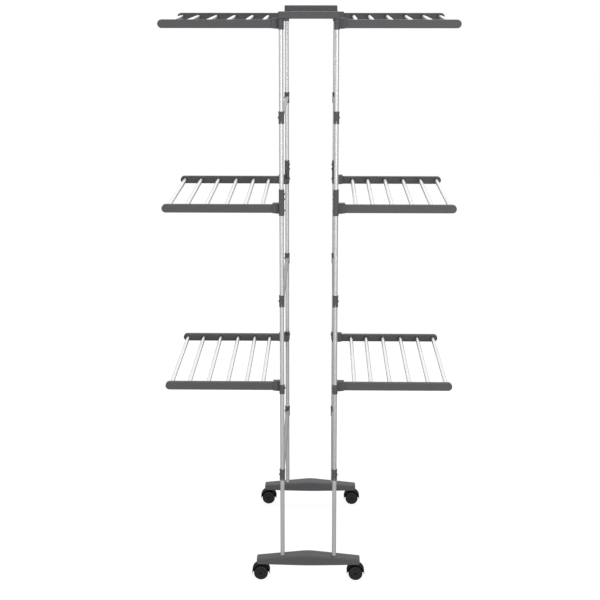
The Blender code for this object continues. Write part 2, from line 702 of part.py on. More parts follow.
hood = make_hood()
wheels = make_wheels()
hoods = {side: mirrored(hood.data, side, 1) for side in (-1, 1)}
for side, end in CORNERS:
    castor = END_NAMES[end] + "_" + SIDE_NAMES[side] + "_castor"
    swivel = add_axis(castor + "_swivel_axis", (side * CASTOR_OUT, end * POST_BACK, 0))
    spin = add_axis(castor + "_wheel_axis", (side * CASTOR_TRAIL, 0, AXLE_HEIGHT), swivel)
    add_part(castor + "_hood", hoods[side], black_plastic, parent=swivel)
    add_part(castor + "_wheels", wheels.data, black_plastic, parent=spin)

for guide in list(cutters.objects):
    drop(guide)
bpy.context.view_layer.update()
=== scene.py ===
import json
import math

import bmesh
import bpy
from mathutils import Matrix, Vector


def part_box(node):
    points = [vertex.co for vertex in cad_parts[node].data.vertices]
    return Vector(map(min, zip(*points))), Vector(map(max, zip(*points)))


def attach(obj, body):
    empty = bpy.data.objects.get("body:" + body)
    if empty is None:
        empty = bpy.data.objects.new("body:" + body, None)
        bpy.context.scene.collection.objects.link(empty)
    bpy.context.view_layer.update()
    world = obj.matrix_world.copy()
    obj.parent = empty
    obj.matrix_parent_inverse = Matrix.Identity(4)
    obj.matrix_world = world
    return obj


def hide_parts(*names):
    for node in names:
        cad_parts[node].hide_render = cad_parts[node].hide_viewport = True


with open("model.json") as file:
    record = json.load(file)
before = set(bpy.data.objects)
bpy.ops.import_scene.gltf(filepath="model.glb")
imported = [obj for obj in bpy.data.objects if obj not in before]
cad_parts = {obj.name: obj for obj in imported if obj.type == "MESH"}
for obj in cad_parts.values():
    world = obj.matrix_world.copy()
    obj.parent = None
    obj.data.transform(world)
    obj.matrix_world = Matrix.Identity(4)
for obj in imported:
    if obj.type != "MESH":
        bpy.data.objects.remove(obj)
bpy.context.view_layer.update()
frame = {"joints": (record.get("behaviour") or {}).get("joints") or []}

# Rolling clothes drying rack. Metres, +Z up. Pieces are modelled at the rear right of the rack, from the
# boxes and joints of the frame, and then copied and mirrored to their other places.

scene = bpy.context.scene

shared = {
    "mergeDistance": 0.000005,
    "nearby": 0.00005,       # how far a face or a point may lie from the place that it is picked by
    "facing": 0.9,           # a face is square to an axis when its normal has more than this along it
    "overrun": 0.002,        # how far a cut runs past the face that it opens
    "seatGap": 0.0003,       # between a pocket or a bore and what sits in it
    "roundSides": 48,
    "rodSides": 32,
    "pinSides": 24,
    "roundSteps": 2,
    "roundAngle": 30,        # edges that turn by more than this are rounded
    "rimAngle": 60,          # the same where only the rims are rounded
    "smoothAngle": 32,
}
sideNames = {-1: "Left", 1: "Right"}
endNames = {-1: "Front", 1: "Rear"}
corners = [(side, end) for end in (-1, 1) for side in (-1, 1)]


def cornerName(side, end):
    return endNames[end] + sideNames[side]


def cornerNode(side, end):
    # the corner as the frame writes it
    return endNames[end].lower() + "_" + sideNames[side].lower()


# Tools

def selectOnly(piece):
    bpy.ops.object.select_all(action="DESELECT")
    piece.select_set(True)
    bpy.context.view_layer.objects.active = piece


def openMesh(piece):
    selectOnly(piece)
    bpy.ops.object.mode_set(mode="EDIT")


def closeMesh():
    bpy.ops.object.mode_set(mode="OBJECT")


def pick(piece, kind, chosen):
    # selects the faces, edges or points for which chosen is true
    bpy.ops.mesh.select_mode(type=kind)
    bpy.ops.mesh.select_all(action="DESELECT")
    shape = bmesh.from_edit_mesh(piece.data)
    items = {"FACE": shape.faces, "EDGE": shape.edges, "VERT": shape.verts}[kind]
    for item in items:
        if chosen(item):
            item.select_set(True)
    bmesh.update_edit_mesh(piece.data)


def sliceMesh(axis, place):
    # adds a loop all round the mesh where a plane square to the axis meets it
    point = Vector((0, 0, 0))
    normal = Vector((0, 0, 0))
    point[axis] = place
    normal[axis] = 1
    bpy.ops.mesh.select_all(action="SELECT")
    bpy.ops.mesh.bisect(plane_co=point, plane_no=normal)


def near(value, place):
    return abs(value - place) < shared["nearby"]


def squareTo(face, axis):
    return abs(face.normal[axis]) > shared["facing"]


def onPlane(face, axis, place):
    return near(face.calc_center_median()[axis], place) and squareTo(face, axis)


def alongY(edge, x, z):
    # whether the edge runs along Y at this x and z
    return all(near(vert.co.x, x) and near(vert.co.z, z) for vert in edge.verts)


def startRound(name, radius, low, high, centre, axis="Z", sides=None):
    # a solid cylinder from low to high; centre gives the two places across the axis
    middle = (low + high) / 2
    place = (centre[0], centre[1], middle)
    turn = (0, 0, 0)
    if axis == "Y":
        place = (centre[0], middle, centre[1])
        turn = (math.radians(90), 0, 0)
    elif axis == "X":
        place = (middle, centre[0], centre[1])
        turn = (0, math.radians(90), 0)
    bpy.ops.object.select_all(action="DESELECT")
    bpy.ops.mesh.primitive_cylinder_add(vertices=sides or shared["roundSides"], radius=radius,
                                        depth=high - low, location=place, rotation=turn)
    return applyPlace(name)


def startBlock(name, low, high):
    low = Vector(low)
    high = Vector(high)
    bpy.ops.object.select_all(action="DESELECT")
    bpy.ops.mesh.primitive_cube_add(size=1, location=(low + high) / 2)
    bpy.context.object.scale = high - low
    return applyPlace(name)


def applyPlace(name):
    piece = bpy.context.object
    piece.name = name
    piece.data.name = name
    bpy.ops.object.transform_apply(location=True, rotation=True, scale=True)
    return piece


def applyStep(piece, step):
    selectOnly(piece)
    bpy.ops.object.modifier_apply(modifier=step.name)


def drop(*pieces):
    for piece in pieces:
        bpy.data.objects.remove(piece, do_unlink=True)


def combine(piece, other, operation):
    # joins the other solid to the piece, or cuts it out of the piece, and removes it
    step = piece.modifiers.new("Combine", "BOOLEAN")
    step.operation = operation
    step.solver = "EXACT"
    step.object = other
    applyStep(piece, step)
    drop(other)


def join(piece, other):
    combine(piece, other, "UNION")


def cut(piece, other):
    combine(piece, other, "DIFFERENCE")


def roundEdges(piece, width, steps=None, angle=None):
    # rounds the edges that turn by more than the angle
    step = piece.modifiers.new("Round", "BEVEL")
    step.width = width
    step.segments = steps or shared["roundSteps"]
    step.limit_method = "ANGLE"
    step.angle_limit = math.radians(angle or shared["roundAngle"])
    applyStep(piece, step)


def finishShape(piece):
    # welds, points the faces out and shades smooth up to the smooth angle
    openMesh(piece)
    bpy.ops.mesh.select_mode(type="FACE")
    bpy.ops.mesh.select_all(action="SELECT")
    bpy.ops.mesh.remove_doubles(threshold=shared["mergeDistance"])
    bpy.ops.mesh.normals_make_consistent(inside=False)
    closeMesh()
    bpy.ops.object.shade_smooth_by_angle(angle=math.radians(shared["smoothAngle"]))
    return piece


def copyPiece(source, name, side=1, end=1, shift=(0, 0, 0)):
    # a copy with its own mesh, mirrored by side and end and then moved
    piece = source.copy()
    piece.data = source.data.copy()
    piece.name = name
    piece.data.name = name
    scene.collection.objects.link(piece)
    piece.scale = (side, end, 1)
    piece.location = shift
    selectOnly(piece)
    bpy.ops.object.transform_apply(location=True, rotation=True, scale=True)
    if side * end < 0:
        openMesh(piece)
        bpy.ops.mesh.select_all(action="SELECT")
        bpy.ops.mesh.normals_make_consistent(inside=False)
        closeMesh()
    return piece


def evenShading(piece):
    # keeps broad faces evenly shaded beside narrow rounded edges
    step = piece.modifiers.new("Even", "WEIGHTED_NORMAL")
    step.keep_sharp = True
    applyStep(piece, step)


def dress(piece, material, slotName, body, *nodes):
    # gives the piece its material and its body, and hides the solids that it stands for
    evenShading(piece)
    piece.data.materials.clear()
    piece.data.materials.append(material)
    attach(piece, body)
    if nodes:
        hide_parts(*nodes)


# Materials

class Wire:
    # a socket in a material, on which sums add Math nodes

    def __init__(self, tree, socket=None):
        self.tree = tree
        self.socket = socket

    def node(self, kind, settings=None, values=None, output=0):
        made = self.tree.nodes.new(kind)
        for key, value in (settings or {}).items():
            setattr(made, key, value)
        for key, value in (values or {}).items():
            if isinstance(value, Wire):
                self.tree.links.new(value.socket, made.inputs[key])
            else:
                made.inputs[key].default_value = value
        return Wire(self.tree, made.outputs[output])

    def sum(self, operation, first, second):
        return self.node("ShaderNodeMath", {"operation": operation}, {0: first, 1: second})

    def __add__(self, other):
        return self.sum("ADD", self, other)

    def __radd__(self, other):
        return self.sum("ADD", other, self)

    def __mul__(self, other):
        return self.sum("MULTIPLY", self, other)

    def __rmul__(self, other):
        return self.sum("MULTIPLY", other, self)


def tint(colour, amount):
    return tuple(min(1.0, channel * amount) for channel in colour) + (1.0,)


def noise(wire, place, scale, detail):
    return wire.node("ShaderNodeTexNoise", values={"Vector": place, "Scale": scale, "Detail": detail})


def startMaterial(name):
    material = bpy.data.materials.new(name)
    material.use_nodes = True
    wire = Wire(material.node_tree)
    return material, wire, wire.node("ShaderNodeTexCoord", output="Object")


def varySurface(wire, look, mix, first, second, height):
    # two noises vary the colour and the roughness, and the height makes the bumps
    colour = wire.node("ShaderNodeMix", {"data_type": "RGBA"},
                       {"Factor": first * mix["colourShares"][0] + second * mix["colourShares"][1],
                        6: tint(look["colour"], 1 - look["spread"]),
                        7: tint(look["colour"], 1 + look["spread"])}, output=2)
    rough = look["roughness"] - mix["smoother"]
    rough = rough + first * mix["roughShares"][0] + second * mix["roughShares"][1]
    bump = wire.node("ShaderNodeBump", values={"Strength": look["bumpStrength"],
                                               "Distance": look["bumpDepth"], "Height": height})
    shader = wire.tree.nodes["Principled BSDF"]
    for made, socket in ((colour, "Base Color"), (rough, "Roughness"), (bump, "Normal")):
        wire.tree.links.new(made.socket, shader.inputs[socket])
    return shader


plasticMix = {"cloudDetail": 3.0, "grainDetail": 2.0, "colourShares": (0.7, 0.3), "smoother": 0.06,
              "roughShares": (0.07, 0.05)}
steelMix = {"markDetail": 3.0, "cloudDetail": 2.0, "colourShares": (0.6, 0.4), "smoother": 0.05,
            "roughShares": (0.06, 0.04)}


def plasticMaterial(name, look):
    # moulded plastic: a fine spark-eroded grain, with faint cloudy flow marks
    material, wire, place = startMaterial(name)
    cloud = noise(wire, place, look["cloudScale"], plasticMix["cloudDetail"])
    grain = noise(wire, place, look["grainScale"], plasticMix["grainDetail"])
    shader = varySurface(wire, look, plasticMix, cloud, grain, grain)
    shader.inputs["Specular IOR Level"].default_value = look["specular"]
    return material


def steelMaterial(name, look, along):
    # tube steel: fine drawing marks that run along the tube, and faint cloudy patches
    material, wire, place = startMaterial(name)
    stretch = [look["markScale"]] * 3
    stretch["XYZ".index(along)] = look["markScale"] * look["markStretch"]
    drawn = wire.node("ShaderNodeMapping", values={"Vector": place, "Scale": stretch})
    marks = noise(wire, drawn, 1.0, steelMix["markDetail"])
    cloud = noise(wire, place, look["cloudScale"], steelMix["cloudDetail"])
    shader = varySurface(wire, look, steelMix, marks, cloud, marks)
    shader.inputs["Metallic"].default_value = look["metallic"]
    return material


greyPlasticLook = {"colour": (0.105, 0.105, 0.112), "spread": 0.05, "cloudScale": 22.0, "grainScale": 1500.0,
                   "bumpStrength": 0.18, "bumpDepth": 0.0002, "roughness": 0.48, "specular": 0.25}
blackPlasticLook = {"colour": (0.008, 0.008, 0.0085), "spread": 0.08, "cloudScale": 60.0,
                    "grainScale": 1800.0, "bumpStrength": 0.12, "bumpDepth": 0.0002, "roughness": 0.55,
                    "specular": 0.04}
treadLook = {"colour": (0.012, 0.012, 0.012), "spread": 0.15, "cloudScale": 90.0, "grainScale": 1200.0,
             "bumpStrength": 0.2, "bumpDepth": 0.0003, "roughness": 0.55, "specular": 0.35}
postSteelLook = {"colour": (0.66, 0.66, 0.665), "spread": 0.03, "cloudScale": 14.0, "markScale": 2600.0,
                 "markStretch": 0.004, "bumpStrength": 0.04, "bumpDepth": 0.0001, "roughness": 0.38,
                 "metallic": 0.5}
# the stretchers take the post steel painted darker: painted shade for the shade that falls on them
stretcherShadedSteelLook = dict(postSteelLook, colour=(0.34, 0.34, 0.345))
rodSteelLook = {"colour": (0.87, 0.87, 0.875), "spread": 0.02, "cloudScale": 18.0, "markScale": 3000.0,
                "markStretch": 0.004, "bumpStrength": 0.03, "bumpDepth": 0.0001, "roughness": 0.27,
                "metallic": 1.0}
screwSteelLook = {"colour": (0.20, 0.20, 0.205), "spread": 0.05, "cloudScale": 200.0, "markScale": 3000.0,
                  "markStretch": 1.0, "bumpStrength": 0.08, "bumpDepth": 0.0001, "roughness": 0.35,
                  "metallic": 1.0}
greyPlastic = plasticMaterial("moulded grey plastic", greyPlasticLook)
blackPlastic = plasticMaterial("moulded black plastic", blackPlasticLook)
wheelTread = plasticMaterial("hard wheel plastic", treadLook)
postSteel = steelMaterial("satin post tube", postSteelLook, "Z")
# painted shade: the post steel in a darker colour for the stretchers
stretcherShadedSteel = steelMaterial("satin stretcher tube with painted shade", stretcherShadedSteelLook, "Y")
rodSteel = steelMaterial("bright rod tube", rodSteelLook, "Y")
screwSteel = steelMaterial("dark screw steel", screwSteelLook, "Y")
print("materials made")


# Places read from the frame

joints = {joint["name"]: joint for joint in frame["joints"]}
upperPostLow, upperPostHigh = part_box("upper_post_rear_right")
lowerPostLow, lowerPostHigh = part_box("lower_post_rear_right")
postPlace = (upperPostLow + upperPostHigh) / 2
postRadius = (upperPostHigh.x - upperPostLow.x) / 2
postBore = postRadius + shared["seatGap"]
tiers = ("top", "middle", "low")
pivots = {tier: Vector(joints[tier + "_right_wing_fold"]["pos_m"]) for tier in tiers}


# Post and stretcher tubes

tubeShape = {"wall": 0.0008, "endRound": 0.00025}


def makeTube(name, low, high, centre, axis):
    # a solid bar whose two end faces are inset and bridged, so that it is open from end to end
    tube = startRound(name, postRadius, low, high, centre, axis)
    openMesh(tube)
    along = "XYZ".index(axis)
    pick(tube, "FACE", lambda face: squareTo(face, along))
    bpy.ops.mesh.inset(thickness=tubeShape["wall"])
    bpy.ops.mesh.bridge_edge_loops()
    closeMesh()
    roundEdges(tube, tubeShape["endRound"])
    return finishShape(tube)


centre = (postPlace.x, postPlace.y)
upperPost = makeTube("upperPost", upperPostLow.z, upperPostHigh.z, centre, "Z")
lowerPost = makeTube("lowerPost", lowerPostLow.z, lowerPostHigh.z, centre, "Z")
for side, end in corners:
    corner, node = cornerName(side, end), cornerNode(side, end)
    dress(copyPiece(upperPost, "upperPost" + corner, side, end), postSteel, "satin_steel", "frame",
          "upper_post_" + node)
    dress(copyPiece(lowerPost, "lowerPost" + corner, side, end), postSteel, "satin_steel", "frame",
          "lower_post_" + node)
drop(upperPost, lowerPost)

levels = ("upper", "middle", "lower")
stretcherLow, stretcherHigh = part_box("upper_stretcher_right")
stretcherPlace = (stretcherLow + stretcherHigh) / 2
stretcher = makeTube("stretcher", stretcherLow.y, stretcherHigh.y, (stretcherPlace.x, stretcherPlace.z), "Y")
for level in levels:
    for side in (-1, 1):
        node = level + "_stretcher_" + sideNames[side].lower()
        low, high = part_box(node)
        lift = (low.z + high.z) / 2 - stretcherPlace.z
        dress(copyPiece(stretcher, level + "Stretcher" + sideNames[side], side, 1, (0, 0, lift)),
              stretcherShadedSteel, "satin_steel", "frame", node)
drop(stretcher)
print("posts and stretchers made")


# Wing rails and rods

railShape = {"trunnionRise": 0.0026, "trunnionRadius": 0.003, "edgeRound": 0.0016, "edgeSteps": 3,
             "tipSteps": 12, "heelTopRound": 0.0045, "heelTopSteps": 4, "heelBottomRound": 0.0055,
             "heelBottomSteps": 5, "pocketDepth": 0.009, "rimWidth": 0.0026, "recess": 0.0018,
             "ringWidth": 0.0026, "ringDepth": 0.003}
rodShape = {"radius": 0.006, "tipInset": 0.0162, "shares": (1.0, 0.872, 0.734, 0.591, 0.454, 0.333),
            "endRound": 0.0004}
railLow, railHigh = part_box("top_right_wing_rear_rail")
railInner = railLow.y + railShape["trunnionRise"]
railOuter = railHigh.y - railShape["trunnionRise"]
railHeight = railHigh.z - railLow.z
railLevel = (railLow.z + railHigh.z) / 2
outermost = railHigh.x - rodShape["tipInset"]
rodPlaces = [outermost * share for share in rodShape["shares"]]


def railBlock(margin, front, back):
    # a long block with a half-round tip and a rounded heel, smaller than the rail by a margin all round
    heel, tip, bottom, top = railLow.x + margin, railHigh.x - margin, railLow.z + margin, railHigh.z - margin
    block = startBlock("rail", (heel, front, bottom), (tip, back, top))
    openMesh(block)
    for x, heights, width, steps in (
            (tip, (bottom, top), railHeight / 2 - margin - shared["nearby"], railShape["tipSteps"]),
            (heel, (top,), railShape["heelTopRound"] - margin, railShape["heelTopSteps"]),
            (heel, (bottom,), railShape["heelBottomRound"] - margin, railShape["heelBottomSteps"])):
        pick(block, "EDGE", lambda edge: any(alongY(edge, x, z) for z in heights))
        bpy.ops.mesh.bevel(offset=width, segments=steps, affect="EDGES")
    closeMesh()
    return block


def makeRail():
    # the block with its inner face a little deeper than its rim, two stubs that turn in the hinge's cheeks,
    # and for each rod a pocket with a wider ring round its mouth
    rail = railBlock(0, railInner, railOuter)
    roundEdges(rail, railShape["edgeRound"], railShape["edgeSteps"], shared["rimAngle"])
    cut(rail, railBlock(railShape["rimWidth"], railInner - shared["overrun"],
                        railInner + railShape["recess"]))
    pivot = pivots["top"]
    join(rail, startRound("stub", railShape["trunnionRadius"], railLow.y, railHigh.y, (pivot.x, pivot.z), "Y",
                          shared["pinSides"]))
    for place in rodPlaces:
        for width, depth in ((shared["seatGap"], railShape["pocketDepth"]),
                             (railShape["ringWidth"], railShape["recess"] + railShape["ringDepth"])):
            cut(rail, startRound("pocket", rodShape["radius"] + width, railInner - shared["overrun"],
                                 railInner + depth, (place, railLevel), "Y", shared["rodSides"]))
    return finishShape(rail)


def makeRod(place):
    reach = railInner + railShape["pocketDepth"] - shared["seatGap"]
    rod = startRound("rod", rodShape["radius"], -reach, reach, (place, railLevel), "Y", shared["rodSides"])
    roundEdges(rod, rodShape["endRound"])
    return finishShape(rod)


rail = makeRail()
rods = [makeRod(place) for place in rodPlaces]
for tier in tiers:
    lift = pivots[tier].z - pivots["top"].z
    for side in (-1, 1):
        body = tier + "_" + sideNames[side].lower() + "_wing"
        wing = tier + sideNames[side] + "Wing"
        dress(copyPiece(rail, wing + "FrontRail", side, -1, (0, 0, lift)), greyPlastic, "grey_plastic",
              body, body + "_front_rail_with_rods")
        dress(copyPiece(rail, wing + "RearRail", side, 1, (0, 0, lift)), greyPlastic, "grey_plastic",
              body, body + "_rear_rail")
        for number, rod in enumerate(rods, 1):
            dress(copyPiece(rod, wing + "Rod" + str(number), side, 1, (0, 0, lift)), rodSteel, "bright_steel",
                  body)
drop(rail, *rods)
print("wings made")


# Hinges, and the sleeves that carry them on the posts

hingeShape = {"wall": 0.0035, "lipThickness": 0.004, "lipReach": 0.012, "lipBack": 0.0095, "floor": 0.0075,
              "shoulder": 0.008, "halfWidth": 0.006, "toe": 0.006, "runGap": 0.0004, "heelGap": 0.0006,
              "lipRound": 0.0025, "lipSteps": 4, "lipSide": 0.0015, "edgeRound": 0.0006, "roundAngle": 40}
sleeveShape = {"radius": 0.008, "edgeRound": 0.0006, "lowRise": 0.019}
railMiddle = (railInner + railOuter) / 2
railHalf = (railOuter - railInner) / 2


def makeHinge(pivot):
    # two cheeks and a lip round the rail's root, open below so that the rail can swing down
    half = railHalf + hingeShape["runGap"] + hingeShape["wall"]
    back = postPlace.x - hingeShape["halfWidth"]
    outer = pivot.x + hingeShape["lipReach"]
    inner = pivot.x - hingeShape["lipBack"]
    floor = pivot.z - hingeShape["floor"]
    shoulder = pivot.z + hingeShape["shoulder"]
    railTop = pivot.z + railHigh.z - pivots["top"].z
    lipTop = railTop + shared["seatGap"] + hingeShape["lipThickness"]
    hinge = startBlock("hinge", (back, railMiddle - half, floor), (outer, railMiddle + half, shoulder))
    openMesh(hinge)
    sliceMesh(0, inner)
    pick(hinge, "FACE", lambda face: onPlane(face, 2, shoulder) and face.calc_center_median().x > inner)
    bpy.ops.mesh.extrude_region_move(TRANSFORM_OT_translate={"value": (0, 0, lipTop - shoulder)})
    sliceMesh(0, pivot.x)
    pick(hinge, "VERT", lambda point: near(point.co.x, outer) and near(point.co.z, floor))
    bpy.ops.transform.translate(value=(0, 0, hingeShape["floor"] - hingeShape["toe"]))

    def lipEdge(edge):
        first, second = edge.verts
        atTop = near(first.co.z, lipTop) and near(second.co.z, lipTop)
        return atTop and near(first.co.x, second.co.x) and not near(first.co.x, pivot.x)

    pick(hinge, "EDGE", lipEdge)
    bpy.ops.mesh.bevel(offset=hingeShape["lipRound"], segments=hingeShape["lipSteps"], affect="EDGES")
    closeMesh()
    channelBack = railLow.x - hingeShape["heelGap"]
    channelHalf = railHalf + hingeShape["runGap"]
    cut(hinge, startBlock("channel", (channelBack, railMiddle - channelHalf, floor - shared["overrun"]),
                          (outer + shared["overrun"], railMiddle + channelHalf, railTop + shared["seatGap"])))
    lipHalf = channelHalf + hingeShape["lipSide"]
    beyond = half + shared["overrun"]
    for start, stop in ((-beyond, -lipHalf), (lipHalf, beyond)):   # the cheeks end level with the rail's top
        cut(hinge, startBlock("ledge", (inner - shared["overrun"], railMiddle + start, railTop),
                              (outer + shared["overrun"], railMiddle + stop, lipTop + shared["overrun"])))
    roundEdges(hinge, hingeShape["edgeRound"], angle=hingeShape["roundAngle"])
    ear = railHalf + railShape["trunnionRise"] + shared["seatGap"]
    cut(hinge, startRound("ears", railShape["trunnionRadius"] + shared["seatGap"], railMiddle - ear,
                          railMiddle + ear, (pivot.x, pivot.z), "Y", shared["pinSides"]))
    gap = shared["seatGap"]      # keeps the arm's faces off the hinge's
    arm = startBlock("arm", (back + gap, railMiddle, floor + gap),
                     (inner - gap, postPlace.y - postRadius + tubeShape["wall"], shoulder - gap))
    roundEdges(arm, hingeShape["edgeRound"], angle=hingeShape["roundAngle"])
    join(hinge, arm)
    return hinge


def makeSleeve(name, low, high):
    sleeve = startRound(name, sleeveShape["radius"], low, high, (postPlace.x, postPlace.y))
    roundEdges(sleeve, sleeveShape["edgeRound"], angle=shared["rimAngle"])
    return sleeve


def makeBore(low, high):
    return startRound("bore", postBore, low, high, (postPlace.x, postPlace.y))


def makeHingedSleeve(name, node, pivot, rise=None):
    # a sleeve as high as its solid, or up to a rise over the pivot, with its hinge and the post's bore
    low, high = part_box(node)
    top = high.z if rise is None else pivot.z + rise
    sleeve = makeSleeve(name, low.z, top)
    join(sleeve, makeHinge(pivot))
    cut(sleeve, makeBore(low.z - shared["overrun"], top + shared["overrun"]))
    return finishShape(sleeve)


coupler = makeHingedSleeve("coupler", "post_coupler_rear_right", pivots["middle"])
lowSleeve = makeHingedSleeve("lowSleeve", "low_hinge_sleeve_rear_right", pivots["low"],
                             sleeveShape["lowRise"])
for side, end in corners:
    corner, node = cornerName(side, end), cornerNode(side, end)
    dress(copyPiece(coupler, "coupler" + corner, side, end), greyPlastic, "grey_plastic", "frame",
          "post_coupler_" + node)
    dress(copyPiece(lowSleeve, "lowSleeve" + corner, side, end), greyPlastic, "grey_plastic", "frame",
          "low_hinge_sleeve_" + node)
drop(coupler, lowSleeve)
print("hinges and sleeves made")


# Top bridges

bridgeShape = {"overhang": 0.0068, "height": 0.020, "depth": 0.022, "edgeRound": 0.003,
               "edgeSteps": 4, "roof": 0.006, "grooveLength": 0.110, "grooveHeight": 0.003,
               "grooveCut": 0.0012}


def makeBridge():
    # a rounded bar over both posts, with a shallow groove along its inner face and a leg round each post
    low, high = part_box("rear_top_bridge")
    half = postPlace.x + bridgeShape["overhang"]
    halfDepth = bridgeShape["depth"] / 2
    barBottom = high.z - bridgeShape["height"]
    inner = postPlace.y - halfDepth
    bar = startBlock("bridge", (-half, inner, barBottom), (half, postPlace.y + halfDepth, high.z))
    roundEdges(bar, bridgeShape["edgeRound"], bridgeShape["edgeSteps"])
    middle = (barBottom + high.z) / 2
    length, height = bridgeShape["grooveLength"] / 2, bridgeShape["grooveHeight"] / 2
    cut(bar, startBlock("groove", (-length, inner - shared["overrun"], middle - height),
                        (length, inner + bridgeShape["grooveCut"], middle + height)))
    leg = makeSleeve("leg", low.z, barBottom + bridgeShape["edgeRound"])
    join(leg, makeHinge(pivots["top"]))
    bore = makeBore(low.z - shared["overrun"], high.z - bridgeShape["roof"])
    for side in (-1, 1):
        join(bar, copyPiece(leg, "legCopy", side))
    for side in (-1, 1):
        cut(bar, copyPiece(bore, "boreCopy", side))
    drop(leg, bore)
    return finishShape(bar)


bridge = makeBridge()
for end in (-1, 1):
    dress(copyPiece(bridge, "topBridge" + endNames[end], 1, end), greyPlastic, "grey_plastic", "frame",
          endNames[end].lower() + "_top_bridge")
drop(bridge)
print("bridges made")


# Stretcher connectors

connectorShape = {"collarHeight": 0.0055, "collarRise": 0.0005, "reach": 0.022, "bossRadius": 0.0077,
                  "slitWidth": 0.0018, "slitHeight": 0.0075, "edgeRound": 0.0006, "collarRound": 0.0003}


def makeConnector():
    # a sleeve with a raised collar at its top, a clamping slit at its lower edge and a boss with a socket for
    # the stretcher
    low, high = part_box("upper_connector_rear_right")
    level = (low.z + high.z) / 2
    sleeve = startRound("connector", sleeveShape["radius"], low.z, high.z, (postPlace.x, postPlace.y))
    openMesh(sleeve)
    collarLow = high.z - connectorShape["collarHeight"]
    sliceMesh(2, collarLow)
    pick(sleeve, "FACE", lambda face: not squareTo(face, 2) and face.calc_center_median().z > collarLow)
    bpy.ops.mesh.extrude_region_shrink_fatten(
        MESH_OT_extrude_region={"use_normal_flip": False},
        TRANSFORM_OT_shrink_fatten={"value": connectorShape["collarRise"]})
    closeMesh()
    roundEdges(sleeve, connectorShape["collarRound"], angle=shared["rimAngle"])
    mouth = postPlace.y - connectorShape["reach"]
    boss = startRound("boss", connectorShape["bossRadius"], mouth, postPlace.y, (postPlace.x, level), "Y")
    roundEdges(boss, connectorShape["edgeRound"], angle=shared["rimAngle"])
    join(sleeve, boss)
    slitHalf = connectorShape["slitWidth"] / 2
    cut(sleeve, startBlock("slit", (postPlace.x - slitHalf, postPlace.y, low.z - shared["overrun"]),
                           (postPlace.x + slitHalf, postPlace.y + 2 * sleeveShape["radius"],
                            low.z + connectorShape["slitHeight"])))
    cut(sleeve, makeBore(low.z - shared["overrun"], high.z + shared["overrun"]))
    cut(sleeve, startRound("socket", postBore, mouth - shared["overrun"], stretcherHigh.y + shared["seatGap"],
                           (postPlace.x, level), "Y"))
    return finishShape(sleeve), level


connector, connectorLevel = makeConnector()
connectorLevels = []
for level in levels:
    low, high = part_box(level + "_connector_rear_right")
    connectorLevels.append((low.z + high.z) / 2)
    lift = connectorLevels[-1] - connectorLevel
    for side, end in corners:
        corner, node = cornerName(side, end), cornerNode(side, end)
        dress(copyPiece(connector, level + "Connector" + corner, side, end, (0, 0, lift)), greyPlastic,
              "grey_plastic", "frame", level + "_connector_" + node)
drop(connector)
print("connectors made")


# Screws on the sleeves

screwShape = {"radius": 0.0032, "rise": 0.0022, "seat": 0.0006, "dome": 0.0012, "domeSteps": 5,
              "slotWidth": 0.0008, "slotLength": 0.0032, "slotDepth": 0.0009,
              "couplerLifts": (0.0535, 0.0377, 0.0057), "lowLift": 0.0084}


def makeScrew():
    # a domed head with a cross recess, pointing out along +X from a face at x = 0
    head = startRound("screw", screwShape["radius"], -screwShape["seat"], screwShape["rise"], (0, 0), "X",
                      shared["rodSides"])
    openMesh(head)
    pick(head, "FACE", lambda face: onPlane(face, 0, screwShape["rise"]))
    bpy.ops.mesh.bevel(offset=screwShape["dome"], segments=screwShape["domeSteps"], affect="EDGES")
    closeMesh()
    depth = screwShape["rise"] - screwShape["slotDepth"]
    for long, wide in ((1, 0), (0, 1)):
        reach = (screwShape["slotLength"] * long + screwShape["slotWidth"] * wide) / 2
        breadth = (screwShape["slotLength"] * wide + screwShape["slotWidth"] * long) / 2
        cut(head, startBlock("slot", (depth, -reach, -breadth),
                             (screwShape["rise"] + shared["overrun"], reach, breadth)))
    return finishShape(head)


screw = makeScrew()
innerFace = postPlace.x - sleeveShape["radius"]
outerFace = postPlace.x + sleeveShape["radius"]
screwPlaces = [("connector", 1, outerFace, level) for level in connectorLevels]
screwPlaces += [("coupler", -1, innerFace, pivots["middle"].z + lift) for lift in screwShape["couplerLifts"]]
screwPlaces += [("lowSleeve", -1, innerFace, pivots["low"].z + screwShape["lowLift"])]
for side, end in corners:
    for number, (carrier, facing, face, height) in enumerate(screwPlaces, 1):
        name = carrier + "Screw" + cornerName(side, end) + str(number)
        dress(copyPiece(screw, name, side * facing, 1, (side * face, end * postPlace.y, height)), screwSteel,
              "bright_steel", "frame")
drop(screw)
print("screws made")


# Base beams

beamShape = {"endTop": 0.0687, "endBottom": 0.0522, "endDepth": 0.036, "ridge": 0.020, "edgeRound": 0.004,
             "edgeSteps": 5, "wall": 0.0025, "ribBottom": 0.058, "ribPlace": 0.107,
             "postBossBottom": 0.053, "postFloor": 0.056, "bossWall": 0.002, "castorBossRadius": 0.0085,
             "castorBossBottom": 0.0516, "stemRadius": 0.004, "stemTop": 0.068,
             "stations": (0.85, 0.68, 0.5, 0.32, 0.2), "ridgeStations": (1, 0.75, 0.5, 0.25)}
swivel = Vector(joints["rear_right_castor_swivel"]["pos_m"])
beamLow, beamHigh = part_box("rear_base_beam")
beamMiddle = (beamLow.y + beamHigh.y) / 2


def softDistance(across):
    # distance from the middle of the beam, rounded off within the ridge
    ridge = beamShape["ridge"]
    return across - ridge / 2 if across > ridge else across * across / (2 * ridge)


def roofAt(across):
    return beamHigh.z - (beamHigh.z - beamShape["endTop"]) * softDistance(across) / softDistance(beamHigh.x)


def floorAt(across):
    return beamLow.z + (beamShape["endBottom"] - beamLow.z) * (across / beamHigh.x) ** 2


def sideAt(across):
    # how far the front and back of the beam stand from its middle
    taper = (beamHigh.y - beamLow.y - beamShape["endDepth"]) / 2
    return (beamHigh.y - beamLow.y) / 2 - taper * softDistance(across) / softDistance(beamHigh.x)


